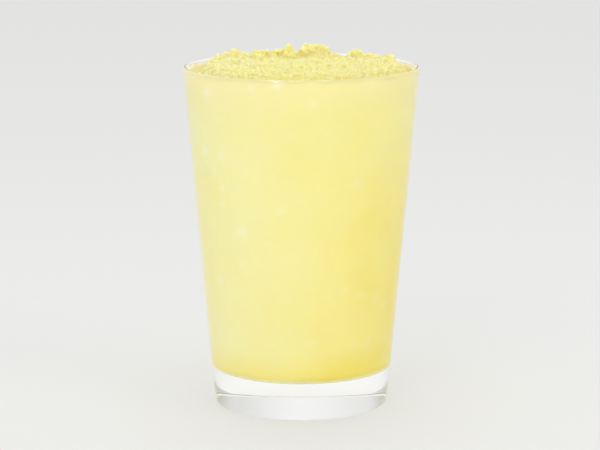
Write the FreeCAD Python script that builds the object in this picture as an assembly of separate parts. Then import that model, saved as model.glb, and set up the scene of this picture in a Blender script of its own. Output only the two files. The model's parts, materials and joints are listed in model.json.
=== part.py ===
"""Frozen lemonade in a heavy-based tapered glass tumbler.

Two pieces, in millimetres, +Z up, with the origin at the centre of the foot on the table:
  glass            turned tumbler: punted foot, solid base, straight tapered wall, rounded lip
  frozen_lemonade  crushed lemon ice that fills the tumbler and heaps a little above its lip
"""

import math
import os
import random

import FreeCAD
import Part

# ---------------------------------------------------------------- tumbler, driving sizes
HEIGHT = 128.6  # table to the top of the lip
MOUTH_DIAMETER = 89.0  # outside of the wall, carried up to the lip's height
FOOT_DIAMETER = 66.1  # outside of the wall, carried down to the table
MOUTH_WALL = 2.05  # wall thickness at the mouth, under the lip's bead
FLOOR_WALL = 3.4  # wall thickness at the cavity's floor
LIP_PROUD = 0.27  # how far the fire-polished bead of the lip stands out from the wall
LIP_FILLET = 0.5  # hollow round under the bead
BASE_THICKNESS = 13.5  # solid glass under the lemonade
CAVITY_CORNER = 5.0  # round between the cavity's floor and its wall
FOOT_EDGE = 0.3  # round at the outside of the foot
HEEL_HEIGHT = 10.8  # where the wall starts to draw in to the foot
HEEL_INSET = 0.48  # how far it has drawn in at the foot
HEEL_LEAN = math.radians(13.5)  # slope of the heel where it meets the foot's round
FOOT_RING_WIDTH = 3.6  # flat ring that stands on the table
PUNT_DEPTH = 0.5  # shallow hollow under the base

# ---------------------------------------------------------------- frozen lemonade, driving sizes
EDGE_DROP_RIGHT = 3.2  # how far below the lip the ice meets the wall, on four sides
EDGE_DROP_BACK = 2.6
EDGE_DROP_LEFT = 5.0
EDGE_DROP_FRONT = 1.4
CROWN = 2.1  # how far the heap's broad top stands above the lip
SHOULDER_RIGHT = 8.0  # width of the slope from the wall up to the broad top, on four sides
SHOULDER_BACK = 9.0
SHOULDER_LEFT = 11.0
SHOULDER_FRONT = 9.0
CLUMP_HEADROOM = 16.0  # space above the lip that the tallest clump stays within
CRUMB_COUNT = 420  # small lumps all over the heap
CRUMB_RADIUS = (1.8, 3.4)
CRUMB_HEIGHT = (0.3, 1.6)
CRUMB_SEED = 14
GRID_STEP = 1.0  # spacing of the control net over the heap
GRID_MARGIN = 3  # steps that the net reaches past the mouth
SURFACE_DEGREE = 3

# Larger clumps and dips of the heap: how far to the right and to the back of the middle, as shares
# of the mouth's radius, then radius and height in millimetres (a negative height is a dip).
CLUMPS = (
    (-0.76, 0.15, 4.6, 2.0),
    (-0.60, 0.30, 7.0, 2.9),
    (-0.49, 0.46, 6.0, -3.0),
    (-0.39, 0.32, 4.4, 2.4),
    (-0.24, 0.36, 6.5, 1.8),
    (-0.11, 0.30, 3.3, 4.4),
    (0.03, 0.36, 4.4, 4.2),
    (0.16, 0.34, 6.8, 4.9),
    (0.36, 0.46, 7.6, -3.4),
    (0.37, 0.62, 9.0, -3.2),
    (0.50, 0.28, 3.6, 3.2),
    (0.64, 0.24, 5.0, 0.8),
    (0.78, 0.18, 4.4, 1.6),
    (-0.62, -0.12, 7.0, 1.4),
    (-0.35, -0.38, 8.0, 1.2),
    (0.25, -0.42, 7.0, 1.5),
    (0.58, -0.30, 6.0, 1.3),
    (-0.06, -0.64, 7.0, 1.2),
    (0.10, -0.08, 6.0, 1.2),
    (-0.15, 0.72, 7.0, 0.8),
    (-0.62, 0.60, 6.0, 0.6),
    (0.68, 0.56, 6.0, 0.6),
)

# ---------------------------------------------------------------- sizes that follow
MOUTH_RADIUS = MOUTH_DIAMETER / 2
FOOT_RADIUS = FOOT_DIAMETER / 2
OUTER_SLOPE = (MOUTH_RADIUS - FOOT_RADIUS) / HEIGHT
OUTER_LEAN = math.atan(OUTER_SLOPE)
CAVITY_MOUTH_RADIUS = MOUTH_RADIUS - MOUTH_WALL
CAVITY_FLOOR_RADIUS = FOOT_RADIUS + OUTER_SLOPE * BASE_THICKNESS - FLOOR_WALL
CAVITY_SLOPE = (CAVITY_MOUTH_RADIUS - CAVITY_FLOOR_RADIUS) / (HEIGHT - BASE_THICKNESS)
CAVITY_LEAN = math.atan(CAVITY_SLOPE)
LIP_RADIUS = (MOUTH_WALL + LIP_PROUD) / 2


def outer_radius(z):
    """Outside of the straight wall at a height."""
    return FOOT_RADIUS + OUTER_SLOPE * z


def cavity_radius(z):
    """Inside of the straight wall at a height."""
    return CAVITY_FLOOR_RADIUS + CAVITY_SLOPE * (z - BASE_THICKNESS)


def section_point(radius, z):
    """A point of a turned outline, in the XZ plane."""
    return FreeCAD.Vector(radius, 0, z)


def on_circle(centre, radius, angle):
    """The point of a circle in the XZ plane at an angle from +X."""
    return centre + section_point(radius * math.cos(angle), radius * math.sin(angle))


def arc(centre, radius, start, end):
    """Circular edge in the XZ plane between two angles."""
    middle = (start + end) / 2
    points = [on_circle(centre, radius, angle) for angle in (start, middle, end)]
    return Part.Arc(*points).toShape()


def line(start, end):
    return Part.LineSegment(start, end).toShape()


def blend(start, start_lean, end, end_lean):
    """Smooth rising edge that leaves and arrives at the given leans from the vertical."""
    reach = start.distanceToPoint(end) / 3
    leave = section_point(math.sin(start_lean), math.cos(start_lean)) * reach
    arrive = section_point(math.sin(end_lean), math.cos(end_lean)) * reach
    curve = Part.BezierCurve()
    curve.setPoles([start, start + leave, end - arrive, end])
    return curve.toShape()


def turned(edges):
    """Solid of revolution about Z from a closed outline."""
    outline = Part.Face(Part.Wire(edges))
    return outline.revolve(FreeCAD.Vector(0, 0, 0), FreeCAD.Vector(0, 0, 1), 360)


def cavity_corner():
    """Centre of the round between floor and wall, and its two ends."""
    height = BASE_THICKNESS + CAVITY_CORNER
    centre = section_point(
        cavity_radius(height) - CAVITY_CORNER / math.cos(CAVITY_LEAN), height
    )
    floor_end = on_circle(centre, CAVITY_CORNER, -math.pi / 2)
    wall_end = on_circle(centre, CAVITY_CORNER, -CAVITY_LEAN)
    return centre, floor_end, wall_end


def underside_edges():
    """Punt and the flat ring that stands on the table, and where the ring ends."""
    ring_outer = FOOT_RADIUS - HEEL_INSET - FOOT_EDGE
    ring_inner = ring_outer - FOOT_RING_WIDTH
    sphere = (ring_inner**2 + PUNT_DEPTH**2) / (2 * PUNT_DEPTH)
    centre = section_point(0, PUNT_DEPTH - sphere)
    half_angle = math.asin(ring_inner / sphere)
    punt = arc(centre, sphere, math.pi / 2, math.pi / 2 - half_angle)
    ring = line(section_point(ring_inner, 0), section_point(ring_outer, 0))
    return [punt, ring], ring_outer


def lip_centre():
    """Centre of the bead's round, which touches the cavity's wall from inside the glass."""
    height = HEIGHT - LIP_RADIUS
    return section_point(cavity_radius(height) + LIP_RADIUS / math.cos(CAVITY_LEAN), height)


def lip_fillet():
    """Three points of the hollow round under the bead: at the bead, halfway and at the wall."""
    lip = lip_centre()
    along_wall = section_point(math.sin(OUTER_LEAN), math.cos(OUTER_LEAN))
    away_from_wall = section_point(math.cos(OUTER_LEAN), -math.sin(OUTER_LEAN))
    wall_point = section_point(outer_radius(lip.z), lip.z)
    depth = (wall_point - lip).dot(away_from_wall) + LIP_FILLET
    drop = math.sqrt((LIP_RADIUS + LIP_FILLET) ** 2 - depth**2)
    centre = lip + away_from_wall * depth - along_wall * drop
    towards_lip = (lip - centre).normalize()
    bead_end = centre + towards_lip * LIP_FILLET
    wall_end = centre - away_from_wall * LIP_FILLET
    middle_way = (towards_lip - away_from_wall).normalize()
    return bead_end, centre + middle_way * LIP_FILLET, wall_end


def outside_edges(ring_outer):
    """Foot round, heel, straight wall and the hollow round under the lip's bead."""
    foot_centre = section_point(ring_outer, FOOT_EDGE)
    heel_start = on_circle(foot_centre, FOOT_EDGE, -HEEL_LEAN)
    heel_end = section_point(outer_radius(HEEL_HEIGHT), HEEL_HEIGHT)
    bead_end, fillet_middle, wall_end = lip_fillet()
    return [
        arc(foot_centre, FOOT_EDGE, -math.pi / 2, -HEEL_LEAN),
        blend(heel_start, HEEL_LEAN, heel_end, OUTER_LEAN),
        line(heel_end, wall_end),
        Part.Arc(wall_end, fillet_middle, bead_end).toShape(),
    ]


def make_glass():
    lip = lip_centre()
    bead_end = lip_fillet()[0]
    bead_start_angle = math.atan2(bead_end.z - lip.z, bead_end.x - lip.x)
    lip_inside = math.pi - CAVITY_LEAN
    wall_top = on_circle(lip, LIP_RADIUS, lip_inside)
    corner_centre, floor_end, wall_end = cavity_corner()
    floor_middle = section_point(0, BASE_THICKNESS)
    underside, ring_outer = underside_edges()
    edges = [
        *underside,
        *outside_edges(ring_outer),
        arc(lip, LIP_RADIUS, bead_start_angle, lip_inside),
        line(wall_top, wall_end),
        arc(corner_centre, CAVITY_CORNER, -CAVITY_LEAN, -math.pi / 2),
        line(floor_end, floor_middle),
        line(floor_middle, section_point(0, PUNT_DEPTH)),
    ]
    return turned(edges)


def cavity_space():
    """The tumbler's inside, carried on above the lip so that the heap fits in it."""
    top = HEIGHT + CLUMP_HEADROOM
    corner_centre, floor_end, wall_end = cavity_corner()
    floor_middle = section_point(0, BASE_THICKNESS)
    wall_top = section_point(cavity_radius(top), top)
    axis_top = section_point(0, top)
    edges = [
        line(floor_middle, floor_end),
        arc(corner_centre, CAVITY_CORNER, -math.pi / 2, -CAVITY_LEAN),
        line(wall_end, wall_top),
        line(wall_top, axis_top),
        line(axis_top, floor_middle),
    ]
    return turned(edges)


def bump(distance, radius):
    """Rounded bump that is 1 at its middle and 0 from its radius outwards."""
    if distance >= radius:
        return 0.0
    return (1 - (distance / radius) ** 2) ** 2


def crumbs():
    """Small lumps all over the heap, spread evenly by the golden angle and then shaken."""
    shaker = random.Random(CRUMB_SEED)
    golden_angle = math.pi * (3 - math.sqrt(5))
    shake = CRUMB_RADIUS[0]
    found = []
    for index in range(CRUMB_COUNT):
        distance = CAVITY_MOUTH_RADIUS * math.sqrt((index + 0.5) / CRUMB_COUNT)
        angle = index * golden_angle
        x = distance * math.cos(angle) + shaker.uniform(-shake, shake)
        y = distance * math.sin(angle) + shaker.uniform(-shake, shake)
        radius = shaker.uniform(*CRUMB_RADIUS)
        height = shaker.uniform(*CRUMB_HEIGHT)
        found.append((x, y, radius, height))
    return found


def clumps():
    """The larger clumps and dips, as x, y, radius and height."""
    return [
        (across * CAVITY_MOUTH_RADIUS, back * CAVITY_MOUTH_RADIUS, radius, height)
        for across, back, radius, height in CLUMPS
    ]


def by_side(x, y, right, back, left, front):
    """A size that goes smoothly from side to side, in the direction of a point."""
    direction = math.atan2(y, x)
    across = right if x > 0 else left
    along = back if y > 0 else front
    return across * math.cos(direction) ** 2 + along * math.sin(direction) ** 2


def heap_height(x, y, lumps):
    """Height of the ice above the table: a slope from the wall up to a broad top, with lumps."""
    drop = by_side(x, y, EDGE_DROP_RIGHT, EDGE_DROP_BACK, EDGE_DROP_LEFT, EDGE_DROP_FRONT)
    shoulder = by_side(x, y, SHOULDER_RIGHT, SHOULDER_BACK, SHOULDER_LEFT, SHOULDER_FRONT)
    from_wall = (CAVITY_MOUTH_RADIUS - math.hypot(x, y)) / shoulder
    share = min(max(from_wall, 0.0), 1.0)
    rise = (1 - math.cos(share * math.pi)) / 2
    lumpy = sum(
        height * bump(math.hypot(x - lump_x, y - lump_y), radius)
        for lump_x, lump_y, radius, height in lumps
    )
    return HEIGHT - drop + (drop + CROWN) * rise + lumpy * share


def heap_surface():
    """Smooth surface whose control net follows the heap's height."""
    half_count = math.ceil(CAVITY_MOUTH_RADIUS / GRID_STEP) + GRID_MARGIN
    grid = [index * GRID_STEP for index in range(-half_count, half_count + 1)]
    lumps = clumps() + crumbs()
    poles = [[FreeCAD.Vector(x, y, heap_height(x, y, lumps)) for y in grid] for x in grid]
    spans = len(grid) - SURFACE_DEGREE
    knots = list(range(spans + 1))
    end = [SURFACE_DEGREE + 1]
    multiplicities = end + [1] * (spans - 1) + end
    surface = Part.BSplineSurface()
    surface.buildFromPolesMultsKnots(
        poles,
        multiplicities,
        multiplicities,
        knots,
        knots,
        False,
        False,
        SURFACE_DEGREE,
        SURFACE_DEGREE,
    )
    return surface


def make_frozen_lemonade():
    top = Part.Face(heap_surface())
    under_heap = top.extrude(FreeCAD.Vector(0, 0, -(HEIGHT + CLUMP_HEADROOM)))
    return cavity_space().common(under_heap)


def main():
    os.makedirs("parts", exist_ok=True)
    pieces = {"glass": make_glass(), "frozen_lemonade": make_frozen_lemonade()}
    for node, shape in pieces.items():
        (solid,) = shape.Solids
        millilitres = solid.Volume / 1000
        print(f"{node}: valid {solid.isValid()}, {millilitres:.1f} ml, {len(solid.Faces)} faces")
        solid.exportStep(f"parts/{node}.step")


main()
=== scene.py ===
# %% [markdown]
# # A glass of frozen lemonade
# The real thing is a clear, heavy-based tumbler filled with blended lemon ice, which heaps a little
# above the lip in wet crumbs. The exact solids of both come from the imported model. Here each gets
# its finish: real glass with a rolled lip, ice that is smooth where it is pressed against the wall
# and rough where it stands free, and loose grains on top.

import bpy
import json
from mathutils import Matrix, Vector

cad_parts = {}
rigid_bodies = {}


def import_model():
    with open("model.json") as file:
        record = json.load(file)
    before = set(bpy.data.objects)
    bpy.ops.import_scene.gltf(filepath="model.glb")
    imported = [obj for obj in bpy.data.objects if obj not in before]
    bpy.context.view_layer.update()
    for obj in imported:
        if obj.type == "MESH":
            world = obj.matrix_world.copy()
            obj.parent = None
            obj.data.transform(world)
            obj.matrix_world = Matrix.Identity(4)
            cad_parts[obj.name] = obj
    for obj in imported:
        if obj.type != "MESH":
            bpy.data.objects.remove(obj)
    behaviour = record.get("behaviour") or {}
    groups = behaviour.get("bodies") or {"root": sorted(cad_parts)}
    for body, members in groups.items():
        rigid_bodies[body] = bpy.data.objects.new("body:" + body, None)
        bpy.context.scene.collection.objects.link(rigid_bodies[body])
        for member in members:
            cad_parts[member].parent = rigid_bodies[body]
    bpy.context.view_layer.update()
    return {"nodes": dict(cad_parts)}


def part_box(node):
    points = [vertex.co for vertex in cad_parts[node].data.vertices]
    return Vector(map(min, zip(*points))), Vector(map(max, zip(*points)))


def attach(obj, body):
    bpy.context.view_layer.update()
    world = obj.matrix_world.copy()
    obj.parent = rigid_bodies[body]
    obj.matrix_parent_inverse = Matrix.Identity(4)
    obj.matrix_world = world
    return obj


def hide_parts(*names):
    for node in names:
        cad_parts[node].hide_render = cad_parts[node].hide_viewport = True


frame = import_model()
print("nodes in the frame:", sorted(frame["nodes"]))

# %% [markdown]
# ## Sizes
# The sizes are the tumbler's own, in millimetres, and each is written once. Blender works in metres,
# so a mesh is made in millimetres and scaled as its last step.

# %% Sizes of the tumbler and its filling
import json
import math

import bmesh
import bpy
import numpy as np
from mathutils import Euler, Vector, noise
from mathutils.bvhtree import BVHTree

MM = 0.001
TURN = 2 * math.pi

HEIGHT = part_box("glass")[1][2] / MM
MOUTH_RADIUS = 44.5
FOOT_RADIUS = 33.05
MOUTH_WALL = 2.05
FLOOR_WALL = 3.4
LIP_PROUD = 0.27
LIP_FILLET = 0.5
BASE_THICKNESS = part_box("frozen_lemonade")[0][2] / MM
CAVITY_CORNER = 5.0
FOOT_EDGE = 0.3
HEEL_HEIGHT = 10.8
HEEL_INSET = 0.48
HEEL_LEAN = math.radians(13.5)
FOOT_RING_WIDTH = 3.6
PUNT_DEPTH = 0.5

OUTER_SLOPE = (MOUTH_RADIUS - FOOT_RADIUS) / HEIGHT
OUTER_LEAN = math.atan(OUTER_SLOPE)
CAVITY_MOUTH_RADIUS = MOUTH_RADIUS - MOUTH_WALL
CAVITY_FLOOR_RADIUS = FOOT_RADIUS + OUTER_SLOPE * BASE_THICKNESS - FLOOR_WALL
CAVITY_SLOPE = (CAVITY_MOUTH_RADIUS - CAVITY_FLOOR_RADIUS) / (HEIGHT - BASE_THICKNESS)
CAVITY_LEAN = math.atan(CAVITY_SLOPE)
LIP_RADIUS = (MOUTH_WALL + LIP_PROUD) / 2


def outer_radius(z):
    """Radius of the tumbler's outer wall at a height."""
    return FOOT_RADIUS + OUTER_SLOPE * z


def cavity_radius(z):
    """Radius of the cavity's wall at a height."""
    return CAVITY_FLOOR_RADIUS + CAVITY_SLOPE * (z - BASE_THICKNESS)


def corner_centre():
    """Centre of the round between the cavity's wall and floor, as radius and height."""
    z = BASE_THICKNESS + CAVITY_CORNER
    return cavity_radius(z) - CAVITY_CORNER / math.cos(CAVITY_LEAN), z


print(f"height {HEIGHT:.1f} mm, cavity {2 * cavity_radius(HEIGHT):.1f} mm across at the lip")

# %% [markdown]
# ## Turning a section
# A tumbler is round, so its whole shape is one outline turned about its axis. The outline is made of
# arcs and straight runs, as a mould maker would draw it, and the turning is done with plain arrays,
# which is quicker and more even than the Screw modifier.

# %% Draw the runs of an outline


def arc_points(centre, radius, start, end, count):
    """Points of an arc in the section, as radius and height, both ends included."""
    angles = np.linspace(start, end, count)
    return [(centre[0] + radius * math.cos(a), centre[1] + radius * math.sin(a)) for a in angles]


def blend_points(start, start_lean, end, end_lean, count):
    """Points of a smooth rising curve between two leans from the vertical."""
    start, end = np.array(start), np.array(end)
    reach = np.linalg.norm(end - start) / 3
    leave = start + reach * np.array([math.sin(start_lean), math.cos(start_lean)])
    arrive = end - reach * np.array([math.sin(end_lean), math.cos(end_lean)])
    t = np.linspace(0, 1, count)[:, None]
    curve = (1 - t) ** 3 * start + 3 * (1 - t) ** 2 * t * leave
    curve = curve + 3 * (1 - t) * t**2 * arrive + t**3 * end
    return [tuple(point) for point in curve]


def straight_points(start, end, count):
    """Evenly spaced points of a straight run, without its two ends."""
    shares = np.linspace(0, 1, count + 2)[1:-1]
    return [tuple((1 - s) * np.array(start) + s * np.array(end)) for s in shares]


print("two points between 0 and 3:", straight_points((0, 0), (3, 0), 2))


# %% Turn an outline into a mesh


def mesh_piece(name, points, faces, smooth=True):
    """A new object from points in millimetres."""
    mesh = bpy.data.meshes.new(name)
    mesh.from_pydata((np.asarray(points) * MM).tolist(), [], faces)
    mesh.polygons.foreach_set("use_smooth", [smooth] * len(mesh.polygons))
    mesh.update()
    piece = bpy.data.objects.new(name, mesh)
    bpy.context.scene.collection.objects.link(piece)
    return piece


def turned_faces(rows, segments):
    """Faces of a turned skin whose first and last points lie on the axis."""
    faces = []
    top = 1 + rows * segments
    for k in range(segments):
        after = (k + 1) % segments
        faces.append((0, 1 + after, 1 + k))
        for row in range(rows - 1):
            a = 1 + row * segments
            b = a + segments
            faces.append((a + k, a + after, b + after, b + k))
        last = 1 + (rows - 1) * segments
        faces.append((top, last + k, last + after))
    return faces


def turned_piece(name, outline, segments):
    """Turns an outline that starts and ends on the axis into a closed skin."""
    angles = np.arange(segments) * TURN / segments
    ring = np.stack([np.cos(angles), np.sin(angles)], axis=1)
    points = [(0, 0, outline[0][1])]
    for radius, z in outline[1:-1]:
        points.extend((radius * x, radius * y, z) for x, y in ring)
    points.append((0, 0, outline[-1][1]))
    return mesh_piece(name, points, turned_faces(len(outline) - 2, segments))


print(f"two rows of eight points turn into {len(turned_faces(2, 8))} faces")

# %% [markdown]
# ## The tumbler
# A pressed glass tumbler has a hollow under its foot so that it stands on a ring, a thick base that
# keeps it steady, and a lip that the fire has melted into a bead. The bead and the small rounds at
# the foot are what catch the light, so they are drawn as true arcs with plenty of points.

# %% Turn the tumbler
SEGMENTS = 256
PUNT_STEPS = 16
RING_STEPS = 2
FOOT_STEPS = 8
HEEL_STEPS = 10
WALL_STEPS = 40
FILLET_STEPS = 6
BEAD_STEPS = 28
CORNER_STEPS = 14
FLOOR_STEPS = 10


def foot_outline():
    """Points from the axis through the hollow, over the standing ring and up the drawn-in heel."""
    ring_outer = FOOT_RADIUS - HEEL_INSET - FOOT_EDGE
    ring_inner = ring_outer - FOOT_RING_WIDTH
    sphere = (ring_inner**2 + PUNT_DEPTH**2) / (2 * PUNT_DEPTH)
    half = math.asin(ring_inner / sphere)
    punt = arc_points((0, PUNT_DEPTH - sphere), sphere, math.pi / 2, math.pi / 2 - half, PUNT_STEPS)
    foot = arc_points((ring_outer, FOOT_EDGE), FOOT_EDGE, -math.pi / 2, -HEEL_LEAN, FOOT_STEPS)
    heel_end = (outer_radius(HEEL_HEIGHT), HEEL_HEIGHT)
    heel = blend_points(foot[-1], HEEL_LEAN, heel_end, OUTER_LEAN, HEEL_STEPS)
    return [*punt, *straight_points(punt[-1], foot[0], RING_STEPS), *foot, *heel[1:]]


def lip_outline():
    """Points of the small round under the bead and of the bead, from the outside to the cavity."""
    lip_z = HEIGHT - LIP_RADIUS
    lip = np.array([cavity_radius(lip_z) + LIP_RADIUS / math.cos(CAVITY_LEAN), lip_z])
    away = np.array([math.cos(OUTER_LEAN), -math.sin(OUTER_LEAN)])
    along = np.array([math.sin(OUTER_LEAN), math.cos(OUTER_LEAN)])
    wall_point = np.array([outer_radius(lip_z), lip_z])
    depth = (wall_point - lip) @ away + LIP_FILLET
    drop = math.sqrt((LIP_RADIUS + LIP_FILLET) ** 2 - depth**2)
    fillet_centre = lip + depth * away - drop * along
    to_lip = math.atan2(*(lip - fillet_centre)[::-1])
    to_wall = math.atan2(-away[1], -away[0])
    fillet = arc_points(fillet_centre, LIP_FILLET, to_wall, to_lip, FILLET_STEPS)
    bead = arc_points(lip, LIP_RADIUS, to_lip - math.pi, math.pi - CAVITY_LEAN, BEAD_STEPS)
    return [*fillet, *bead[1:]]


def tumbler_outline():
    """The tumbler's section, from the middle of its foot round to the middle of its floor."""
    foot = foot_outline()
    lip = lip_outline()
    corner = arc_points(corner_centre(), CAVITY_CORNER, -CAVITY_LEAN, -math.pi / 2, CORNER_STEPS)
    return [
        *foot,
        *straight_points(foot[-1], lip[0], WALL_STEPS),
        *lip,
        *straight_points(lip[-1], corner[0], WALL_STEPS),
        *corner,
        *straight_points(corner[-1], (0, BASE_THICKNESS), FLOOR_STEPS),
        (0, BASE_THICKNESS),
    ]


tumbler = turned_piece("tumbler", tumbler_outline(), SEGMENTS)
print(f"tumbler: {len(tumbler.data.polygons)} faces")

# %% [markdown]
# ## The shape of the heap
# The heap meets the wall a few millimetres below the lip, unevenly, and rises over a shoulder to a
# crown just above it. Its sizes differ from side to side, so they are blended in the direction of
# each point, and a list of clumps and dips adds its skyline. The body and the heap both follow this
# shape, so it is a function of the place and can be asked for whole arrays of points at once.

# %% Shape of the heap's edge and top
EDGE_DROP_RIGHT = 3.2
EDGE_DROP_BACK = 2.6
EDGE_DROP_LEFT = 5.0
EDGE_DROP_FRONT = 1.4
SHOULDER_RIGHT = 8.0
SHOULDER_BACK = 9.0
SHOULDER_LEFT = 11.0
SHOULDER_FRONT = 9.0
CROWN = 2.1

# Larger clumps and dips: right and back of the middle as shares of the cavity's radius at the
# mouth, then radius and height in millimetres.
CLUMPS = (
    (-0.76, 0.15, 4.6, 2.0),
    (-0.60, 0.30, 7.0, 2.9),
    (-0.49, 0.46, 6.0, -3.0),
    (-0.39, 0.32, 4.4, 2.4),
    (-0.24, 0.36, 6.5, 1.8),
    (-0.11, 0.30, 3.3, 4.4),
    (0.03, 0.36, 4.4, 4.2),
    (0.16, 0.34, 6.8, 4.9),
    (0.36, 0.46, 7.6, -3.4),
    (0.37, 0.62, 9.0, -3.2),
    (0.50, 0.28, 3.6, 3.2),
    (0.64, 0.24, 5.0, 0.8),
    (0.78, 0.18, 4.4, 1.6),
    (-0.62, -0.12, 7.0, 1.4),
    (-0.35, -0.38, 8.0, 1.2),
    (0.25, -0.42, 7.0, 1.5),
    (0.58, -0.30, 6.0, 1.3),
    (-0.06, -0.64, 7.0, 1.2),
    (0.10, -0.08, 6.0, 1.2),
    (-0.15, 0.72, 7.0, 0.8),
    (-0.62, 0.60, 6.0, 0.6),
    (0.68, 0.56, 6.0, 0.6),
)


def by_side(x, y, right, back, left, front):
    """A size that goes smoothly from side to side, in the direction of each point."""
    direction = np.arctan2(y, x)
    across = np.where(x > 0, right, left)
    along = np.where(y > 0, back, front)
    return across * np.cos(direction) ** 2 + along * np.sin(direction) ** 2


def edge_drop(x, y):
    """How far below the lip the ice meets the wall, in the direction of a point."""
    return by_side(x, y, EDGE_DROP_RIGHT, EDGE_DROP_BACK, EDGE_DROP_LEFT, EDGE_DROP_FRONT)


def heap_height(x, y):
    """Height of the heap's broad shape, for arrays of points."""
    shoulder = by_side(x, y, SHOULDER_RIGHT, SHOULDER_BACK, SHOULDER_LEFT, SHOULDER_FRONT)
    share = np.clip((CAVITY_MOUTH_RADIUS - np.hypot(x, y)) / shoulder, 0, 1)
    drop = edge_drop(x, y)
    lumpy = np.zeros_like(share)
    for across, back, radius, height in CLUMPS:
        away = np.hypot(x - across * CAVITY_MOUTH_RADIUS, y - back * CAVITY_MOUTH_RADIUS)
        lumpy += height * (1 - np.clip(away / radius, 0, 1) ** 2) ** 2
    rise = (1 - np.cos(share * math.pi)) / 2
    return HEIGHT - drop + (drop + CROWN) * rise + lumpy * share


print(f"heap crowns {CROWN} mm above the lip, with {len(CLUMPS)} clumps and dips")

# %% Unevenness of the line in which the ice meets the wall
EDGE_WOBBLE = 0.7
BROAD_WAVES = 6
FINE_WAVES = 17
FINE_SHARE = 0.6
# Two layers of the noise that have nothing to do with each other.
BROAD_LAYER = 3.0
FINE_LAYER = 8.0


def edge_wobble(x, y):
    """How far the line rises or falls, for arrays of directions."""
    wobble = []
    for across, back in zip(x, y):
        broad = noise.noise(Vector((across * BROAD_WAVES, back * BROAD_WAVES, BROAD_LAYER)))
        fine = noise.noise(Vector((across * FINE_WAVES, back * FINE_WAVES, FINE_LAYER)))
        wobble.append(EDGE_WOBBLE * (broad + FINE_SHARE * fine))
    return np.array(wobble)


def circle(count):
    """Directions all round, as two arrays."""
    angles = np.arange(count) * TURN / count
    return np.cos(angles), np.sin(angles)


line = edge_wobble(*circle(SEGMENTS))
print(f"the line wanders from {line.min():.2f} to {line.max():.2f} mm")

# %% [markdown]
# ## The ice against the wall
# Blended ice is pressed against the glass with no air between them. So its body is a turned skin
# that reaches just into the wall, because two skins in one place would flicker. Above the heap's
# edge a wet film still clings to the glass, nearly up to the lip. So the skin goes on up the wall,
# turns over and comes down again as the film's inner face. Its top is closed deep under the heap,
# where nothing shows it.

# %% Turn the ice's body
INTO_WALL = 0.2
BODY_LOW = BASE_THICKNESS - INTO_WALL
BODY_SEGMENTS = 320
BODY_FLOOR_STEPS = 14
BODY_CORNER_STEPS = 12
BODY_ROWS = 150
FILM_DROP_RIGHT = 1.0
FILM_DROP_BACK = 1.2
FILM_DROP_LEFT = 0.9
FILM_DROP_FRONT = 1.0
FILM_WOBBLE = 0.35
FILM_ROUND = 0.15
FILM_THICKNESS = 0.5
FILM_SWELL = 0.5
FILM_SWELLS_ROUND = 14
FILM_SWELLS_UP = 0.3
FILM_THICKENING = 0.8
FILM_BELOW_EDGE = 2.5
FILM_STEPS = 8
# The body's top is hidden in the heap: its last ring's radius, and how deep the ring and middle lie.
HIDDEN_RADIUS = 20.0
HIDDEN_DROP = 3
HIDDEN_MIDDLE = 6


def film_top(x, y):
    """Height to which wet ice clings to the wall, in the direction of a point."""
    drop = by_side(x, y, FILM_DROP_RIGHT, FILM_DROP_BACK, FILM_DROP_LEFT, FILM_DROP_FRONT)
    return HEIGHT - drop + FILM_WOBBLE * edge_wobble(x, y)


def wall_rows(top):
    """Rows of the body over the floor, round the corner and up the wall, as radii and heights."""
    centre = corner_centre()
    floor = straight_points((0, BODY_LOW), (centre[0], BODY_LOW), BODY_FLOOR_STEPS)
    reach = CAVITY_CORNER + INTO_WALL
    corner = arc_points(centre, reach, -math.pi / 2, -CAVITY_LEAN, BODY_CORNER_STEPS)
    rows = [(np.full_like(top, radius), np.full_like(top, z)) for radius, z in floor + corner]
    start = corner[-1][1]
    for share in np.linspace(0, 1, BODY_ROWS + 1)[1:]:
        z = start + share * (top - start)
        rows.append((cavity_radius(z) + INTO_WALL / math.cos(CAVITY_LEAN), z))
    return rows


def film_swell(x, y, z):
    """Where the film swells and thins, about zero."""
    spots = zip(x * FILM_SWELLS_ROUND, y * FILM_SWELLS_ROUND, z * FILM_SWELLS_UP)
    return np.array([noise.noise(Vector(spot)) for spot in spots])


def film_rows(x, y, top, foot):
    """Rows down the film's inner face, which thickens towards its foot."""
    rows = []
    for share in np.arange(FILM_STEPS + 1) / FILM_STEPS:
        z = top - FILM_ROUND + share * (foot - top)
        thickness = FILM_THICKNESS * (1 + FILM_SWELL * film_swell(x, y, z))
        rows.append((cavity_radius(z) - thickness - FILM_THICKENING * share**2, z))
    return rows


def ice_body():
    """The pressed ice with its film, as one turned skin whose rows are uneven at the top."""
    x, y = circle(BODY_SEGMENTS)
    top = film_top(x, y)
    foot = HEIGHT - edge_drop(x, y) - FILM_BELOW_EDGE
    rows = wall_rows(top) + film_rows(x, y, top, foot)
    rows.append((np.full_like(x, HIDDEN_RADIUS), foot - HIDDEN_DROP))
    points = [(0, 0, BODY_LOW)]
    for radius, z in rows:
        points.extend(zip(radius * x, radius * y, z))
    points.append((0, 0, HEIGHT - EDGE_DROP_LEFT - HIDDEN_MIDDLE))
    return mesh_piece("lemon_ice_body", points, turned_faces(len(rows), BODY_SEGMENTS))


body = ice_body()
print(f"ice body: {len(body.data.polygons)} faces")
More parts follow.
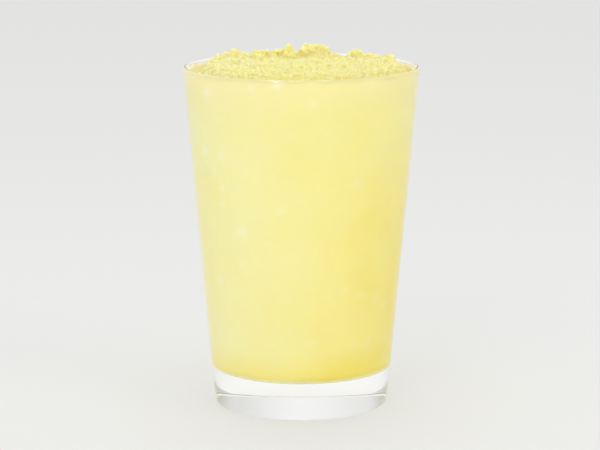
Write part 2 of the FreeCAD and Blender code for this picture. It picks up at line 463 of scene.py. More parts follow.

# %% [markdown]
# ## Flecks of ice at the wall, and painted light
# Here and there a lump of plain ice is pressed against the glass and shows as a soft white fleck.
# A few are listed one by one and many faint ones come by seeded chance; one listed fleck is not ice
# but a painted highlight on the glass just under the lip. The film's inner face, from which syrup
# drains, is whitened too, more on the left as painted light. The underside is whitened as painted
# light, which stands in for the light that the thick base would carry to it. An image painted over the
# mesh could hold this, but each point can simply keep how white it is as an attribute, which the
# material reads.

# %% Mark the flecks on the ice's body
# Degrees to the right of the front, height, radius in millimetres, and whiteness.
FLECKS = (
    (-60, 100, 1.6, 1.0),
    (-46, 99, 1.4, 0.7),
    (-53, 122, 1.9, 0.96),
    (-53, 93, 1.6, 0.7),
    (-47, 87, 1.5, 0.7),
    (-48, 81, 1.5, 0.7),
    (-35, 71, 1.9, 0.96),
    (-39, 70, 1.2, 0.57),
    (-11, 80, 1.2, 0.7),
    (-25, 125, 1.4, 0.57),
    # Not ice: a painted highlight on the glass just under the lip.
    (-12, 127, 1.7, 1.0),
    (6, 120, 1.2, 0.57),
    (31, 90, 1.2, 0.57),
    (-36, 59, 1.3, 0.57),
    (-57, 51, 1.5, 0.7),
)
FLECK_SEED = 5
FAINT_FLECKS = 150
FAINT_WHITENESS = 0.3
FAINT_SIZES = (0.7, 1.6)
FLECK_STRENGTH = 0.72
FLECK_SHARPNESS = 1.2
# The underside is whitened as painted light, standing in for the light that the thick base would carry
# to it.
UNDERSIDE_PAINTED_LIGHT = 0.7
PAINTED_LIGHT_RISE = 1.0
# The film's inner face is whitened where syrup drains, and more on the left than the right as painted
# light from the left.
FILM_WHITE_AND_LIGHT_LEFT = 0.6
FILM_WHITE_AND_LIGHT_RIGHT = 0.25
# The film's inner face is what lies so near the lip and so far inside the wall.
FILM_HEIGHT = 10
INNER_FACE = 0.2


def points_of(piece):
    """A piece's points in millimetres, one to a row."""
    points = np.empty(len(piece.data.vertices) * 3)
    piece.data.vertices.foreach_get("co", points)
    return points.reshape(-1, 3) / MM


def keep_whiteness(piece, white):
    """Stores how white each point of a piece is, from 0 to 1."""
    layer = piece.data.attributes.new("fleck_and_light", "FLOAT", "POINT")
    layer.data.foreach_set("value", white)


def all_flecks():
    """The flecks placed by hand, and faint ones at seeded places."""
    rng = np.random.default_rng(FLECK_SEED)
    flecks = list(FLECKS)
    for _ in range(FAINT_FLECKS):
        turn = rng.uniform(-180, 180)
        height = rng.uniform(BASE_THICKNESS + CAVITY_CORNER, HEIGHT)
        flecks.append((turn, height, rng.uniform(*FAINT_SIZES), rng.uniform(0, FAINT_WHITENESS)))
    return flecks


def mark_flecks_and_light(piece):
    """Whitens the flecks and the film's inner face, the film more on the left as painted light, and
    paints light on the underside.
    """
    points = points_of(piece)
    white = np.zeros(len(points))
    for turn, height, radius, whiteness in all_flecks():
        angle = math.radians(turn - 90)
        reach = cavity_radius(height)
        centre = np.array([reach * math.cos(angle), reach * math.sin(angle), height])
        away = np.linalg.norm(points - centre, axis=1) / radius
        fleck_and_light = FLECK_STRENGTH * whiteness / (1 + (FLECK_SHARPNESS * away) ** 3)
        white = np.maximum(white, fleck_and_light)
    x, y, z = points.T
    inner_face = (z > HEIGHT - FILM_HEIGHT) & (np.hypot(x, y) < cavity_radius(z) - INNER_FACE)
    # The extra white towards the left is painted light.
    rightward = 0.5 + 0.5 * x / CAVITY_MOUTH_RADIUS
    film_white_and_light = FILM_WHITE_AND_LIGHT_LEFT + (FILM_WHITE_AND_LIGHT_RIGHT - FILM_WHITE_AND_LIGHT_LEFT) * rightward
    white[inner_face] = film_white_and_light[inner_face]
    # Painted light on the underside.
    painted_lit_underside = z < BASE_THICKNESS + PAINTED_LIGHT_RISE
    white[painted_lit_underside] = np.maximum(white[painted_lit_underside], UNDERSIDE_PAINTED_LIGHT)
    keep_whiteness(piece, white)
    print(f"{len(FLECKS)} flecks by hand and {FAINT_FLECKS} by chance, on {len(points)} points")


mark_flecks_and_light(body)

# %% [markdown]
# ## The heap
# Above the wall the ice is a loose heap of wet crumbs frozen together. A height map can't overhang,
# so the heap is built from thousands of rough chunks sunk into a core, and a voxel Remesh melts them
# into one skin, much as the real crumbs freeze to each other.

# %% Rough chunks
CHUNK_ROUGHNESS = 0.24
CHUNK_FLATNESS = 0.45


def unit_chunk():
    """Points and faces of a small ball to be roughened."""
    ball = bmesh.new()
    bmesh.ops.create_icosphere(ball, subdivisions=1, radius=1)
    points = np.array([vertex.co[:] for vertex in ball.verts])
    faces = np.array([[vertex.index for vertex in face.verts] for face in ball.faces])
    ball.free()
    return points, faces


def rough_chunks(centres, radii, rng):
    """Points and faces of one mesh with a rough, turned and squashed chunk at each centre."""
    ball, ball_faces = unit_chunk()
    all_points, all_faces = [], []
    for k, (centre, radius) in enumerate(zip(centres, radii)):
        stretch = rng.uniform(1 - CHUNK_FLATNESS, 1, 3)
        stretch /= stretch.max()
        swell = 1 + rng.uniform(-CHUNK_ROUGHNESS, CHUNK_ROUGHNESS, (len(ball), 1))
        turn = np.array(Euler(rng.uniform(0, TURN, 3)).to_matrix())
        all_points.append((ball * swell * stretch * radius) @ turn.T + centre)
        all_faces.append(ball_faces + k * len(ball))
    return np.concatenate(all_points), np.concatenate(all_faces)


print(f"a chunk has {len(unit_chunk()[0])} points and {len(unit_chunk()[1])} faces")

# %% Spread chunks over the heap


def even_spots(count, radius, shake, rng):
    """Spots spread evenly over a disc by the golden angle, then shaken."""
    index = np.arange(count)
    distance = radius * np.sqrt((index + 0.5) / count)
    angle = index * math.pi * (3 - math.sqrt(5))
    x = distance * np.cos(angle) + rng.uniform(-shake, shake, count)
    y = distance * np.sin(angle) + rng.uniform(-shake, shake, count)
    return x, y


def inside_wall(x, y, z, radii, clearance):
    """Moves spots towards the axis so that chunks of these radii clear the wall."""
    limit = np.minimum(cavity_radius(z), CAVITY_MOUTH_RADIUS) - radii - clearance
    distance = np.hypot(x, y)
    scale = np.minimum(1, limit / np.maximum(distance, 1e-6))
    return x * scale, y * scale


spot = even_spots(3, 1, 0, np.random.default_rng(0))
print(f"three even spots in a disc: across {spot[0].round(2)}, back {spot[1].round(2)}")

# %% [markdown]
# ## The heap's core
# Thousands of crumbs needn't fill the heap to its middle. A plain closed plug of the heap's broad
# shape, sunk a little, fills it instead, and the crumbs only have to cover the plug.

# %% Core
HEAP_FLOOR = HEIGHT - 11
CORE_SINK = 0.8
CORE_STEEPNESS = 10
CORE_RINGS = 90
CORE_SEGMENTS = 300
WALL_CLEARANCE = 0.1
WOBBLE_REACH = 6


def heap_core():
    """Points and faces of the plug under the crumbs."""
    x, y = circle(CORE_SEGMENTS)
    wobble = edge_wobble(x, y)
    edge = HEIGHT - edge_drop(x, y) + wobble
    bottom = cavity_radius(HEAP_FLOOR) - WALL_CLEARANCE
    points = [(0, 0, HEAP_FLOOR)]
    points.extend((bottom * across, bottom * back, HEAP_FLOOR) for across, back in zip(x, y))
    for ring in range(CORE_RINGS, 0, -1):
        share = ring / CORE_RINGS
        radius = share * (cavity_radius(edge) - WALL_CLEARANCE)
        sink = CORE_SINK * min(1, (1 - share) * CORE_STEEPNESS)
        z = heap_height(radius * x, radius * y) - sink + wobble * share**WOBBLE_REACH
        points.extend(zip(radius * x, radius * y, z))
    points.append((0, 0, float(heap_height(np.zeros(1), np.zeros(1))[0]) - CORE_SINK))
    return np.array(points), turned_faces(CORE_RINGS + 1, CORE_SEGMENTS)


print(f"the core has {len(heap_core()[0])} points")

# %% [markdown]
# ## The crumbs
# Most crumbs are small and lie all over, some larger lumps show through them, and a line of crumbs
# clings where the heap meets the wall. A few blocks stand out and make the skyline; each is covered
# with crumbs of its own, so that it looks broken and not cast.

# %% Crumbs
# How many, smallest and largest radius, and rise over the broad shape, in millimetres.
SMALL_CRUMBS = (3600, 0.5, 1.4, -0.3)
LUMPS = (260, 1.4, 2.6, -1.5)
HEAP_SEED = 7
CRUMB_MARGIN = 0.6
CRUMB_SHAKE = 1.2
CRUMB_LIFTS = (-0.35, 0.3)
SUNK_SHARE = 0.5
WALL_CRUMBS = 420
WALL_CRUMB_SIZES = (0.45, 1.0)
WALL_CRUMB_LIFTS = (-0.9, 0.2)
BLOCK_CRUMBS = 14
BLOCK_CRUMB_SIZES = (0.4, 0.9)

# Blocks that stand out of the heap: right, back and above the lip, then radius, in millimetres.
BLOCKS = (
    (-32.6, 6.5, 1.2, 1.5),
    (-25.2, 12.0, 3.4, 1.8),
    (-22.6, 13.0, 2.6, 1.2),
    (-17.4, 14.0, 3.6, 0.9),
    (-16.2, 15.0, 3.2, 1.0),
    (-12.8, 13.5, 3.8, 0.9),
    (-9.4, 13.8, 3.9, 0.9),
    (-7.6, 14.0, 3.8, 0.9),
    (-5.8, 13.0, 4.6, 1.2),
    (-4.5, 13.4, 5.0, 1.2),
    (-4.8, 13.0, 6.2, 0.8),
    (1.6, 14.5, 3.9, 2.3),
    (4.6, 14.5, 4.0, 2.7),
    (7.6, 14.5, 4.0, 2.4),
    (9.3, 14.0, 4.2, 1.6),
    (18.6, 12.6, 2.6, 1.2),
    (20.9, 12.0, 3.6, 1.1),
    (22.0, 12.4, 2.6, 1.2),
    (26.5, 12.0, 2.3, 1.1),
    (29.0, 11.0, 2.0, 1.0),
    (32.8, 9.0, 1.6, 1.3),
)


def scattered_crumbs(count, low, high, rise, rng):
    """Centres and radii of crumbs all over the heap, most of them small."""
    radii = low + (high - low) * rng.random(count) ** 2
    x, y = even_spots(count, CAVITY_MOUTH_RADIUS - CRUMB_MARGIN, CRUMB_SHAKE, rng)
    z = heap_height(x, y) + rise - SUNK_SHARE * radii + rng.uniform(*CRUMB_LIFTS, count)
    x, y = inside_wall(x, y, z, radii, WALL_CLEARANCE)
    return np.stack([x, y, z], axis=1), radii


def wall_crumbs(count, rng):
    """Centres and radii of crumbs along the line in which the heap meets the wall."""
    angle = rng.uniform(0, TURN, count)
    radii = rng.uniform(*WALL_CRUMB_SIZES, count)
    x, y = np.cos(angle), np.sin(angle)
    z = HEIGHT - edge_drop(x, y) + edge_wobble(x, y)
    z += rng.uniform(*WALL_CRUMB_LIFTS, count)
    reach = cavity_radius(z) - radii - WALL_CLEARANCE
    return np.stack([x * reach, y * reach, z], axis=1), radii


def block_crumbs(rng):
    """Centres and radii of crumbs half sunk into the upper side of each block."""
    centres, radii = [], []
    for across, back, above, radius in BLOCKS:
        middle = np.array([across, back, HEIGHT + above])
        for _ in range(int(BLOCK_CRUMBS * radius**2)):
            away = rng.normal(size=3)
            away /= np.linalg.norm(away)
            away[2] = abs(away[2])
            crumb = rng.uniform(*BLOCK_CRUMB_SIZES)
            centres.append(middle + away * (radius - SUNK_SHARE * crumb))
            radii.append(crumb)
    return np.array(centres), np.array(radii)


def all_crumbs(rng):
    """Centres and radii of every crumb and block, in groups."""
    centres = np.array([(across, back, HEIGHT + above) for across, back, above, _ in BLOCKS])
    return [
        (centres, np.array([block[3] for block in BLOCKS])),
        block_crumbs(rng),
        scattered_crumbs(*SMALL_CRUMBS, rng),
        scattered_crumbs(*LUMPS, rng),
        wall_crumbs(WALL_CRUMBS, rng),
    ]


counts = [len(radii) for _, radii in all_crumbs(np.random.default_rng(HEAP_SEED))]
print(f"{counts[0]} blocks and {sum(counts[1:])} crumbs")

# %% [markdown]
# ## Cutting and cleaning a mesh
# A Remesh makes one skin of everything, with a floor that nobody sees and now and then a speck that
# touches nothing. The floor is cut off higher up and closed flat, and every part but the largest is
# deleted, so that the mesh is one clean solid. A Boolean could cut it as well, but more slowly.

# %% Mesh helpers


def applied(piece):
    """Replaces a piece's mesh by what its modifiers make of it."""
    graph = bpy.context.evaluated_depsgraph_get()
    mesh = bpy.data.meshes.new_from_object(piece.evaluated_get(graph))
    piece.modifiers.clear()
    piece.data = mesh


def cut_below(piece, z):
    """Cuts off what lies below a height, and closes the cut with one face."""
    work = bmesh.new()
    work.from_mesh(piece.data)
    everything = work.verts[:] + work.edges[:] + work.faces[:]
    cut = bmesh.ops.bisect_plane(
        work, geom=everything, plane_co=(0, 0, z * MM), plane_no=(0, 0, 1), clear_inner=True
    )
    rim = [thing for thing in cut["geom_cut"] if isinstance(thing, bmesh.types.BMEdge)]
    bmesh.ops.holes_fill(work, edges=rim, sides=0)
    bmesh.ops.triangulate(work, faces=[face for face in work.faces if len(face.verts) > 4])
    work.to_mesh(piece.data)
    work.free()


def keep_largest(piece):
    """Deletes the small parts that a Remesh leaves apart from the rest."""
    work = bmesh.new()
    work.from_mesh(piece.data)
    unseen = set(work.verts)
    parts = []
    while unseen:
        part = []
        front = [unseen.pop()]
        while front:
            vertex = front.pop()
            part.append(vertex)
            others = {edge.other_vert(vertex) for edge in vertex.link_edges} & unseen
            unseen -= others
            front.extend(others)
        parts.append(part)
    parts.sort(key=len)
    for part in parts[:-1]:
        bmesh.ops.delete(work, geom=part, context="VERTS")
    work.to_mesh(piece.data)
    work.free()
    print(f"{len(parts) - 1} small parts deleted")


# %% [markdown]
# ## One skin
# The voxels of the Remesh are a little under the size of the smallest crumbs, so that every crumb
# still shows. A short Smooth takes off the steps that voxels leave, as the wet surface of real crumbs
# does, and Decimate thins the mesh where it is nearly flat.

# %% Melt the heap into one skin
VOXEL = 0.27
SOFTNESS = 0.5
SOFTENINGS = 3
HEAP_CUT = HEIGHT - 7.5
HEAP_FACES = 190_000


def heap_chunks():
    """The core and every chunk in it, as one object of many parts."""
    rng = np.random.default_rng(HEAP_SEED)
    points, faces = heap_core()
    all_points, all_faces = [points], list(faces)
    offset = len(points)
    for centres, radii in all_crumbs(rng):
        chunk_points, chunk_faces = rough_chunks(centres, radii, rng)
        all_points.append(chunk_points)
        all_faces.extend(map(tuple, (chunk_faces + offset).tolist()))
        offset += len(chunk_points)
    return mesh_piece("lemon_ice_heap", np.concatenate(all_points), all_faces)


def ice_heap():
    """The heap as one clean skin, as fine as its crumbs."""
    heap = heap_chunks()
    melt = heap.modifiers.new("melt", "REMESH")
    melt.mode = "VOXEL"
    melt.voxel_size = VOXEL * MM
    melt.use_smooth_shade = True
    applied(heap)
    soften = heap.modifiers.new("soften", "SMOOTH")
    soften.factor = SOFTNESS
    soften.iterations = SOFTENINGS
    applied(heap)
    cut_below(heap, HEAP_CUT)
    triangles = sum(len(face.vertices) - 2 for face in heap.data.polygons)
    thin = heap.modifiers.new("thin", "DECIMATE")
    thin.ratio = min(1, HEAP_FACES / triangles)
    applied(heap)
    keep_largest(heap)
    print(f"heap melted into {triangles} triangles, thinned to {len(heap.data.polygons)}")
    return heap


heap = ice_heap()

# %% Painted highlight on the tips of the heap
TIP_PAINTED_LIGHT = 0.45
TIP_HEIGHT = 1.6


def paint_light_on_tips(piece):
    """Whitens what stands proud of the heap's broad shape, as a painted highlight on its tips."""
    x, y, z = points_of(piece).T
    proud = z - heap_height(x, y)
    keep_whiteness(piece, TIP_PAINTED_LIGHT * np.clip(proud / TIP_HEIGHT, 0, 1))


paint_light_on_tips(heap)
print(f"heap: {len(heap.data.vertices)} points, {len(heap.data.polygons)} faces")

# %% [markdown]
# ## Loose grains
# Several hundred grains lie loose on the heap and catch the light. Each is dropped straight down onto
# the heap's finished skin and rests half sunk in it. Geometry Nodes could scatter them, but would
# spread them by area and not as seen from above, which is how they fall.

# %% Scatter loose grains
GRAIN_SEED = 21
GRAINS = 900
SMALLEST_GRAIN = 0.22
GRAIN_SPREAD = 0.4
GRAIN_MARGIN = 1.0
GRAIN_SHAKE = 1.5
# Metres above the floor, well clear of the heap.
DROP_HEIGHT = 0.2


def loose_grains():
    """All the grains as one piece, flat-faced like broken crystals."""
    rng = np.random.default_rng(GRAIN_SEED)
    skin = BVHTree.FromObject(heap, bpy.context.evaluated_depsgraph_get())
    radii = SMALLEST_GRAIN + GRAIN_SPREAD * rng.random(GRAINS) ** 2
    x, y = even_spots(GRAINS, CAVITY_MOUTH_RADIUS - GRAIN_MARGIN, GRAIN_SHAKE, rng)
    centres, kept = [], []
    for across, back, radius in zip(x, y, radii):
        above = Vector((across * MM, back * MM, DROP_HEIGHT))
        hit = skin.ray_cast(above, Vector((0, 0, -1)))[0]
        if hit is not None:
            centres.append((across, back, hit.z / MM))
            kept.append(radius)
    points, faces = rough_chunks(np.array(centres), kept, rng)
    return mesh_piece("ice_grains", points, faces.tolist(), smooth=False)


grains = loose_grains()
print(f"loose grains: {len(grains.data.polygons)} faces")

# %% [markdown]
# ## Materials
# A material is a small graph of nodes. A few helpers add the nodes that come up again and again, so
# that each material below reads as what it does: join two sockets, combine two values, carry a value
# from one range to another, and lay one colour over another.

# %% Start a material and join its nodes


def linear(red, green, blue):
    """A colour given as it is seen, 0 to 255, for a node's socket."""

    def channel(value):
        """One of the three, as a share of full brightness."""
        value /= 255
        return value / 12.92 if value <= 0.04045 else ((value + 0.055) / 1.055) ** 2.4

    return (channel(red), channel(green), channel(blue), 1.0)


def new_material(name):
    """A material with its node tree and the Principled shader in it."""
    material = bpy.data.materials.new(name)
    material.use_nodes = True
    tree = material.node_tree
    return material, tree, tree.nodes["Principled BSDF"]


def join(tree, value, socket):
    """Links an output into a socket, or writes a plain number or colour there."""
    if isinstance(value, bpy.types.NodeSocket):
        tree.links.new(value, socket)
    else:
        socket.default_value = value


def combined(tree, operation, first, second):
    """Two values worked into one by a Math node; some operations look at the first alone."""
    node = tree.nodes.new("ShaderNodeMath")
    node.operation = operation
    join(tree, first, node.inputs[0])
    join(tree, second, node.inputs[1])
    return node.outputs[0]


print("mid grey as a socket takes it:", [round(level, 3) for level in linear(128, 128, 128)])

# %% Carry and mix values, colours and shaders


def ranged(tree, value, band, smooth=True):
    """Carries a value from the band's first two numbers to its last two, and holds it beyond."""
    node = tree.nodes.new("ShaderNodeMapRange")
    node.interpolation_type = "SMOOTHSTEP" if smooth else "LINEAR"
    tree.links.new(value, node.inputs["Value"])
    for name, number in zip(("From Min", "From Max", "To Min", "To Max"), band):
        node.inputs[name].default_value = number
    return node.outputs[0]


def laid_over(tree, share, under, over):
    """A share of one colour laid over another."""
    node = tree.nodes.new("ShaderNodeMix")
    node.data_type = "RGBA"
    join(tree, share, node.inputs["Factor"])
    join(tree, under, node.inputs["A"])
    join(tree, over, node.inputs["B"])
    return node.outputs["Result"]


def shader_mix(tree, share, first, second, output):
    """Ends a material or a world with a share of a second shader."""
    node = tree.nodes.new("ShaderNodeMixShader")
    join(tree, share, node.inputs[0])
    tree.links.new(first, node.inputs[1])
    tree.links.new(second, node.inputs[2])
    tree.links.new(node.outputs[0], tree.nodes[output].inputs["Surface"])


# %% Ask what a ray is, where a point lies and how cloudy it is there
NOISE_DETAIL = 3.0


def ray_is(tree, *kinds):
    """One for rays of any of these kinds, as Light Path names them, and else zero."""
    path = tree.nodes.new("ShaderNodeLightPath")
    share = path.outputs[kinds[0]]
    for kind in kinds[1:]:
        share = combined(tree, "MAXIMUM", share, path.outputs[kind])
    return share


def place_along(tree, axis, source="Object"):
    """The shaded point's place along one axis, or the direction in which a ray leaves."""
    place = tree.nodes.new("ShaderNodeTexCoord")
    split = tree.nodes.new("ShaderNodeSeparateXYZ")
    tree.links.new(place.outputs[source], split.inputs[0])
    return split.outputs[axis]


def noise_value(tree, scale):
    """A cloudy value about one half, in the object's own space."""
    place = tree.nodes.new("ShaderNodeTexCoord")
    cloud = tree.nodes.new("ShaderNodeTexNoise")
    tree.links.new(place.outputs["Object"], cloud.inputs["Vector"])
    join(tree, scale, cloud.inputs["Scale"])
    cloud.inputs["Detail"].default_value = NOISE_DETAIL
    return cloud.outputs["Fac"]


# %% [markdown]
# ## Clear glass
# Soda-lime glass bends light with an index of about 1.5 and takes next to no colour from it. Traced
# truly it would leave the ice behind it almost unlit, because a path tracer seldom finds a lamp
# through a curved wall. So rays that only carry light, shadow rays and diffuse rays, pass a plain
# transparent shader that takes the few per cent that two faces reflect, and all that the eye sees
# still goes through real glass. A tumbler that has been handled and filled with wet ice is never
# quite clean, so a cloudy noise gives the surface faint smears through its roughness.

# %% Glass
GLASS_INDEX = 1.5
GLASS_TRANSMITS = (0.96, 0.97, 0.965, 1.0)
SMEAR_SCALE = 55.0
SMEARS = (0.5, 0.75, 0.0, 0.03)


def glass_material():
    """Real glass for what is seen, and a plain clear shader for light on its way to the ice."""
    material, tree, shader = new_material("clear_glass")
    shader.inputs["Base Color"].default_value = (1.0, 1.0, 1.0, 1.0)
    shader.inputs["IOR"].default_value = GLASS_INDEX
    shader.inputs["Transmission Weight"].default_value = 1.0
    smears = ranged(tree, noise_value(tree, SMEAR_SCALE), SMEARS)
    tree.links.new(smears, shader.inputs["Roughness"])
    clear = tree.nodes.new("ShaderNodeBsdfTransparent")
    clear.inputs["Color"].default_value = GLASS_TRANSMITS
    light_only = ray_is(tree, "Is Shadow Ray", "Is Diffuse Ray")
    shader_mix(tree, light_only, shader.outputs[0], clear.outputs[0], "Material Output")
    return material


tumbler.data.materials.append(glass_material())
print(f"glass: index {GLASS_INDEX}, smears up to roughness {SMEARS[3]}")

# %% [markdown]
# ## Lemon ice
# Blended lemon ice is a wet mass of tiny crystals in a pale yellow syrup. It is never one flat yellow:
# syrup sinks, so it is deeper at the bottom, and its tone varies in blotches. The colour also carries
# painted light and shade: paler on the left, towards the key lamp, and deeper down the right side and
# at both edges, most of all low down. One node group makes that colour from a pale and a deep tint and
# is shared by the pressed ice, the heap and the grains, each with its own tints and its own size of
# blotch.

# %% Tint with painted light and shade, shared by every piece of ice
# Each band carries a place, or a noise value, to a share of the deep tint. Places across are given
# as shares of the cavity's radius, and heights in metres.
# The first four bands paint light and shade: paler on the left, deeper on the right and at both edges,
# and more so low down. The last two are the ice's own: syrup settled at the bottom, and blotches.
PAINTED_LIGHT_LEFT = (-1.05, 0.0, -0.26, 0.0)
PAINTED_SHADE_RIGHT = (0.0, 0.95, 0.0, 0.4)
PAINTED_SHADE_EDGES = (0.82, 1.0, 0.0, 0.12)
PAINTED_SHADE_BY_HEIGHT = (0.128, 0.06, -0.12, 1.0)
BOTTOM = (0.028, 0.013, 0.0, 0.36)
BLOTCHES = (0.3, 0.7, 0.36, 0.56)


def tint_and_light_group():
    """The colour of lemon ice at a place, from a pale and a deep tint, with painted light on the left
    and painted shade on the right, at the edges and low down.
    """
    group = bpy.data.node_groups.new("lemon ice tint and painted light", "ShaderNodeTree")
    for name in ("Pale", "Deep"):
        group.interface.new_socket(name, in_out="INPUT", socket_type="NodeSocketColor")
    group.interface.new_socket("Blotch Scale", in_out="INPUT", socket_type="NodeSocketFloat")
    group.interface.new_socket("Colour", in_out="OUTPUT", socket_type="NodeSocketColor")
    given = group.nodes.new("NodeGroupInput")
    result = group.nodes.new("NodeGroupOutput")
    height = place_along(group, "Z")
    widening = combined(group, "MULTIPLY", height, CAVITY_SLOPE)
    radius = combined(group, "ADD", widening, cavity_radius(0) * MM)
    across = combined(group, "DIVIDE", place_along(group, "X"), radius)
    outward = combined(group, "ABSOLUTE", across, 0.0)
    painted_shade = ranged(group, across, PAINTED_SHADE_RIGHT, smooth=False)
    painted_shade = combined(group, "ADD", painted_shade, ranged(group, outward, PAINTED_SHADE_EDGES))
    painted_shade = combined(group, "MULTIPLY", painted_shade, ranged(group, height, PAINTED_SHADE_BY_HEIGHT))
    painted_light_and_shade = combined(group, "ADD", ranged(group, across, PAINTED_LIGHT_LEFT, smooth=False), painted_shade)
    deep_share = combined(group, "ADD", painted_light_and_shade, ranged(group, height, BOTTOM))
    cloud = noise_value(group, given.outputs["Blotch Scale"])
    blotch = ranged(group, cloud, BLOTCHES, smooth=False)
    deep_share = combined(group, "ADD", deep_share, blotch)
    colour = laid_over(group, deep_share, given.outputs["Pale"], given.outputs["Deep"])
    group.links.new(colour, result.inputs["Colour"])
    return group


TINT_AND_LIGHT = tint_and_light_group()
print("tint group:", [socket.name for socket in TINT_AND_LIGHT.interface.items_tree])

# %% [markdown]
# ## Finishes of the ice
# Light goes a few millimetres into wet ice and comes out again, red farthest and blue least, which is
# what makes it glow; Subsurface does that. Near the lip the ice is only a thin film, where such light
# would be lost behind it, so there the pressed ice turns into a plain matt surface. Loose grains are
# smaller than the depth that light reaches, so they are matt too. Lumps at the wall and the film's
# inner face are whitened by the attribute that their points carry, which also carries painted light on
# the film's left, on the underside and on the tips of the heap, and one painted highlight under the
# lip.

# %% Parts that every ice has
# White for the flecks, and for the painted light on the film, the underside, the heap's tips and one
# highlight.
FLECK_AND_LIGHT_WHITE = linear(255, 247, 214)
SCATTER_RADIUS = (1.0, 0.8, 0.35)


def ice_material(name, pale, deep, blotch_scale, roughness):
    """A matt ice, to which a material adds its depth."""
    material, tree, shader = new_material(name)
    tint = tree.nodes.new("ShaderNodeGroup")
    tint.node_tree = TINT_AND_LIGHT
    tint.inputs["Pale"].default_value = pale
    tint.inputs["Deep"].default_value = deep
    tint.inputs["Blotch Scale"].default_value = blotch_scale
    fleck_and_light = tree.nodes.new("ShaderNodeAttribute")
    fleck_and_light.attribute_name = "fleck_and_light"
    colour = laid_over(tree, fleck_and_light.outputs["Fac"], tint.outputs["Colour"], FLECK_AND_LIGHT_WHITE)
    tree.links.new(colour, shader.inputs["Base Color"])
    shader.inputs["Roughness"].default_value = roughness
    shader.inputs["Subsurface Radius"].default_value = SCATTER_RADIUS
    return material, tree, shader


print("white of a fleck:", [round(level, 3) for level in FLECK_AND_LIGHT_WHITE])

# %% Pressed, heaped and loose ice
SCATTER_SHARE = 0.95
PRESSED_DEPTH = 0.003
HEAPED_DEPTH = 0.006
FILM_FADE = (0.124, 0.114, 0.0, SCATTER_SHARE)


def pressed_ice():
    """Ice against the glass, whose glow fades out where it thins to a film."""
    material, tree, shader = ice_material(
        "ice_at_the_wall",
        pale=linear(253, 243, 188),
        deep=linear(243, 226, 104),
        blotch_scale=45.0,
        roughness=0.6,
    )
    shader.inputs["Subsurface Scale"].default_value = PRESSED_DEPTH
    thick = ranged(tree, place_along(tree, "Z"), FILM_FADE, smooth=False)
    tree.links.new(thick, shader.inputs["Subsurface Weight"])
    return material


def heaped_ice():
    """Wet crumbs, which glow deeply and so have soft shadows between them."""
    material, _, shader = ice_material(
        "wet_ice",
        # These tints are darker than those of the pressed ice, a painted shade for the heap, which
        # stands in the open and in stronger light.
        pale=linear(230, 225, 167),
        deep=linear(226, 213, 105),
        blotch_scale=220.0,
        roughness=0.5,
    )
    shader.inputs["Subsurface Scale"].default_value = HEAPED_DEPTH
    shader.inputs["Subsurface Weight"].default_value = SCATTER_SHARE
    return material


def loose_ice():
    """Grains too small to glow."""
    material, _, _ = ice_material(
        "loose_ice",
        pale=linear(238, 231, 180),
        deep=linear(235, 222, 135),
        blotch_scale=400.0,
        roughness=0.45,
    )
    return material


body.data.materials.append(pressed_ice())
heap.data.materials.append(heaped_ice())
grains.data.materials.append(loose_ice())
print("ice:", [piece.data.materials[0].name for piece in (body, heap, grains)])

# %% [markdown]
# ## Where each piece belongs
# Every piece rides on the object's one body and stands for the solid that it dresses, which is hidden.

# %% Ride and replace
for piece, node, slot in (
    (tumbler, "glass", "clear_glass"),
    (body, "frozen_lemonade", "lemon_ice"),
    (heap, "frozen_lemonade", "lemon_ice"),
    (grains, "frozen_lemonade", "lemon_ice"),
):
    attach(piece, "root")
    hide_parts(node)
    print(f"{piece.name} stands for {node}, in {slot}")

# %% [markdown]
# ## Floor
# A pale floor gives the glass something to stand on and something to show. Seen straight on it glows a
# little, so that it stays even, and keeps a share of plain shading for the soft shadow. Rays through
# the glass see it glow more, as painted light that is bright near the axis and duller to the sides,
# which gives the clear base its grey edges.

# %% Floor
FLOOR_HALF = 3000
FLOOR_ROUGHNESS = 0.8
FLOOR_MATT = linear(248, 248, 247)
FLOOR_SEEN = linear(217, 217, 216)
FLOOR_THROUGH_GLASS = linear(249, 249, 247)
SEEN_GLOW = 0.55
GLASS_GLOW = 0.85
# Through glass the floor's glow is painted light: bright near the axis and duller to the sides.
GLASS_GLOW_NEAR_AXIS = (0.0, 0.15, 1.0, 0.0)


def floor_material():
    """Plain shading with a share of glow, for rays that are seen and for those through glass, where
    the glow is painted light, brighter near the axis.
    """
    material, tree, shader = new_material("pale_floor")
    shader.inputs["Base Color"].default_value = FLOOR_MATT
    shader.inputs["Roughness"].default_value = FLOOR_ROUGHNESS
    through_glass = ray_is(tree, "Is Transmission Ray")
    seen = combined(tree, "MULTIPLY", ray_is(tree, "Is Camera Ray", "Is Glossy Ray"), SEEN_GLOW)
    through_glass_glow = combined(tree, "MULTIPLY", through_glass, GLASS_GLOW)
    share = combined(tree, "MAXIMUM", seen, through_glass_glow)
    aside = combined(tree, "ABSOLUTE", place_along(tree, "X"), 0.0)
    axis_glow_share = combined(tree, "MULTIPLY", ranged(tree, aside, GLASS_GLOW_NEAR_AXIS), through_glass)
    glow = tree.nodes.new("ShaderNodeEmission")
    tree.links.new(laid_over(tree, axis_glow_share, FLOOR_SEEN, FLOOR_THROUGH_GLASS), glow.inputs["Color"])
    shader_mix(tree, share, shader.outputs[0], glow.outputs[0], "Material Output")
    return material


corners = [(x * FLOOR_HALF, y * FLOOR_HALF, 0) for x, y in ((-1, -1), (1, -1), (1, 1), (-1, 1))]
floor = mesh_piece("floor", corners, [(0, 1, 2, 3)])
floor.data.materials.append(floor_material())
print(f"floor: {2 * FLOOR_HALF * MM:.0f} m square")

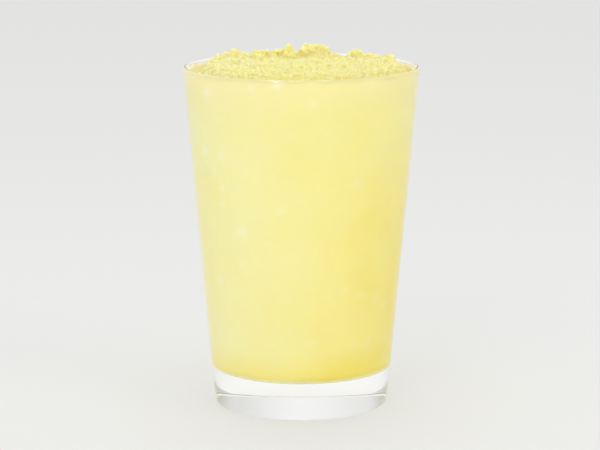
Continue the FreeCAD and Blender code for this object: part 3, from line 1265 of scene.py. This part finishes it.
# %% [markdown]
# ## Light
# Glass is drawn by what stands round it. The room is bright in front and behind and duller to the
# left and right, and those dull walls give the tumbler its edges. The world does that with one
# ramp along the sideways direction, at one strength for the light it gives and at a plainer one for
# what is seen. Soft lamps in front, above and to both sides lift the ice, and are hidden from
# reflections and through glass so that they leave no square glints.

# %% World
# Places from the left wall to the right one, and how bright the room is there.
WALLS = ((0.0, 0.5), (0.2, 0.9), (0.5, 1.02), (0.8, 0.83), (1.0, 0.5))
WORLD_LIGHT = 1.02
WORLD_SEEN = 0.9


def studio_world():
    """A room that is bright in front and behind and duller to the sides."""
    world = bpy.data.worlds.new("studio")
    world.use_nodes = True
    tree = world.node_tree
    sideways = ranged(tree, place_along(tree, "X", "Generated"), (-1, 1, 0, 1), smooth=False)
    walls = tree.nodes.new("ShaderNodeValToRGB")
    ramp = walls.color_ramp
    ramp.interpolation = "EASE"
    while len(ramp.elements) < len(WALLS):
        ramp.elements.new(0.5)
    for stop, (place, _) in zip(ramp.elements, WALLS):
        stop.position = place
    for stop, (_, level) in zip(ramp.elements, WALLS):
        stop.color = (level, level, level, 1)
    tree.links.new(sideways, walls.inputs["Fac"])
    given = tree.nodes["Background"]
    seen = tree.nodes.new("ShaderNodeBackground")
    for node, strength in ((given, WORLD_LIGHT), (seen, WORLD_SEEN)):
        tree.links.new(walls.outputs["Color"], node.inputs["Color"])
        node.inputs["Strength"].default_value = strength
    looks = ray_is(tree, "Is Camera Ray", "Is Glossy Ray", "Is Transmission Ray")
    shader_mix(tree, looks, given.outputs[0], seen.outputs[0], "World Output")
    return world


scene = bpy.context.scene
scene.world = studio_world()
print(f"world: strength {WORLD_LIGHT} for light, {WORLD_SEEN} as seen")

# %% Lamps
LAMP_AIM = Vector((0, 0, 0.07))
# Name, place and size in metres, power in watts.
LAMPS = (
    ("key", (-0.5, -1.1, 0.9), 0.6, 2.15),
    ("high_left", (-0.6, -0.35, 0.5), 0.4, 0.3),
    ("high_right", (0.55, -0.35, 0.55), 0.4, 0.8),
    ("overhead", (0.0, 0.2, 0.9), 0.5, 0.8),
)


def add_lamp(name, place, size, power):
    """A soft square lamp that points at the tumbler and isn't seen in it."""
    data = bpy.data.lights.new(name, "AREA")
    data.size = size
    data.energy = power
    lamp = bpy.data.objects.new(name, data)
    scene.collection.objects.link(lamp)
    lamp.location = place
    lamp.rotation_euler = (LAMP_AIM - lamp.location).to_track_quat("-Z", "Y").to_euler()
    lamp.visible_glossy = False
    lamp.visible_transmission = False


for lamp_values in LAMPS:
    add_lamp(*lamp_values)
print(f"{len(LAMPS)} lamps, {sum(values[3] for values in LAMPS):.1f} W in all")

# %% [markdown]
# ## Camera
# A long lens from a little under a metre, a hand's breadth above the lip, shows the tumbler nearly
# straight on with a narrow look over the lip onto the heap.

# %% Camera
CAMERA_PLACE = (-0.00045, -0.8652, 0.2335)
CAMERA_AIM = Vector((-0.00045, 0, 0.0678))
CAMERA_LENS = 139.06
CAMERA_SENSOR = 36

camera_data = bpy.data.cameras.new("camera")
camera_data.lens = CAMERA_LENS
camera_data.sensor_width = CAMERA_SENSOR
camera = bpy.data.objects.new("camera", camera_data)
scene.collection.objects.link(camera)
camera.location = CAMERA_PLACE
camera.rotation_euler = (CAMERA_AIM - camera.location).to_track_quat("-Z", "Y").to_euler()
scene.camera = camera
scene.view_settings.view_transform = "Standard"
print(f"camera: {CAMERA_LENS:.0f} mm lens, {-CAMERA_PLACE[1]:.2f} m away")
